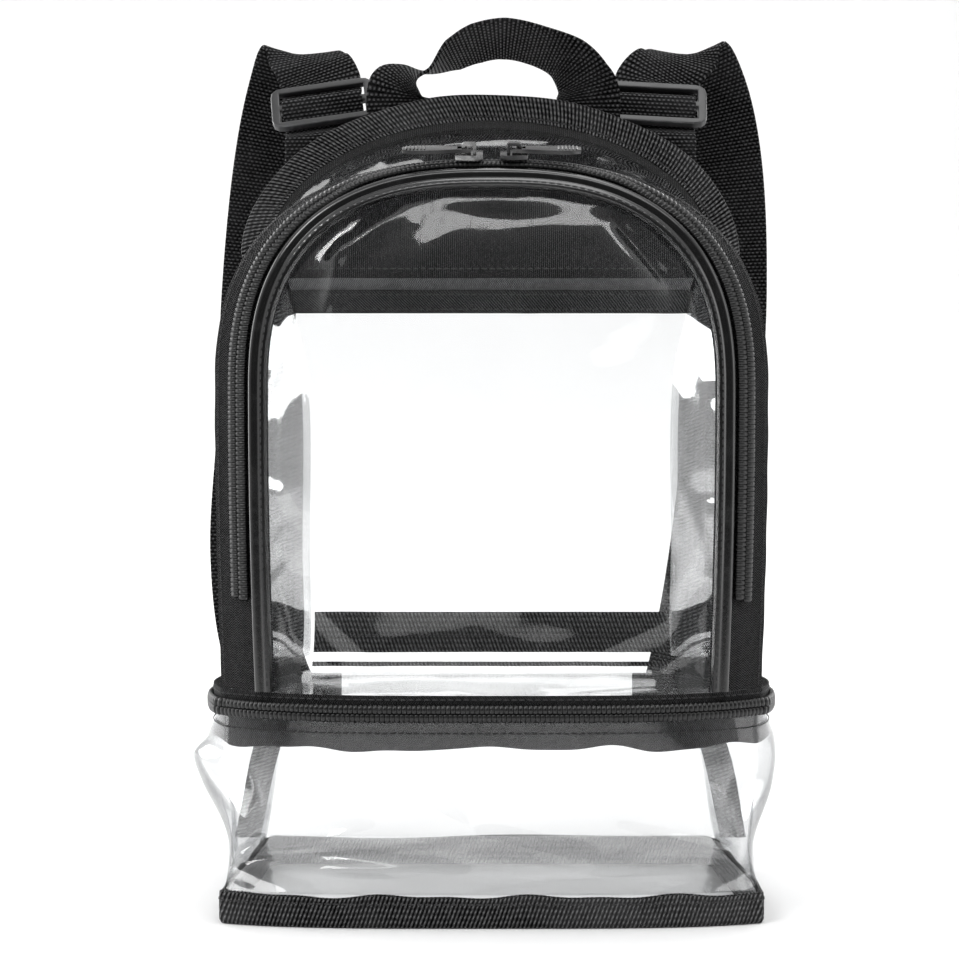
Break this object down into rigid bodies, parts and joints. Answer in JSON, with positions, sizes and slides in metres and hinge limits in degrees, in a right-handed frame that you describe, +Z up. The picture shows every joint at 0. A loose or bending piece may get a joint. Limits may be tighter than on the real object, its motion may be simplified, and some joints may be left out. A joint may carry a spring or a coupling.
{
  "type": "clear stadium backpack",
  "caption": "Small see-through backpack with a zipped arched front door, a zipped lower compartment, webbing-bound seams, a grab handle and shoulder straps.",
  "frame": {"origin": "middle of the box round the whole bag, straps included, on the floor that the base binding stands on", "axes": "+Z up, the zipped front door faces -Y, the wearer's back is on the +Y side, +X to the right seen from the front"},
  "size_m": [0.2285, 0.187, 0.3344],
  "materials": {
    "clear_vinyl": "clear glossy soft sheet with folds",
    "webbing": "black ribbed nylon webbing",
    "yoke_fabric": "black plain-weave nylon",
    "zip_tape": "black herringbone zip tape",
    "zip_coil": "black nylon coil",
    "piping": "glossy black vinyl binding",
    "buckle": "satin moulded black plastic",
    "slider": "black lacquered metal, worn bright at the edges"
  },
  "bodies": {
    "bag": {"front_door": "clear_vinyl", "gusset": "clear_vinyl", "gusset_seam": "clear_vinyl", "back_panel": "clear_vinyl", "back_yoke": "yoke_fabric", "back_binding": "webbing", "yoke_band": "webbing", "yoke_tape": "zip_tape", "back_lower_band": "webbing", "main_zip_outer_tape": "zip_tape", "main_zip_inner_tape": "zip_tape", "main_zip_coil": "zip_coil", "door_piping": "piping", "lower_wall": "clear_vinyl", "lower_zip_upper_tape": "zip_tape", "lower_zip_lower_tape": "zip_tape", "lower_zip_coil": "zip_coil", "divider_floor": "clear_vinyl", "base_panel": "clear_vinyl", "base_binding": "webbing", "grab_handle": "webbing", "shoulder_strap_left": "webbing", "shoulder_strap_right": "webbing", "strap_buckle_left": "buckle", "strap_buckle_right": "buckle", "main_slider_left": "slider", "main_slider_right": "slider", "lower_slider": "slider"},
    "pull_tab_left": {"pull_tab_left": "slider"},
    "pull_tab_right": {"pull_tab_right": "slider"}
  },
  "joints": [
    {"name": "left_tab_hinge", "type": "hinge", "parent": "bag", "child": "pull_tab_left", "pos_m": [-0.00813, -0.06424, 0.27729], "axis": [-0.0159, 0.9431, 0.3321], "range_deg": [0, 90]},
    {"name": "right_tab_hinge", "type": "hinge", "parent": "bag", "child": "pull_tab_right", "pos_m": [0.00813, -0.06424, 0.27729], "axis": [-0.0159, -0.9431, -0.3321], "range_deg": [0, 90]}
  ]
}
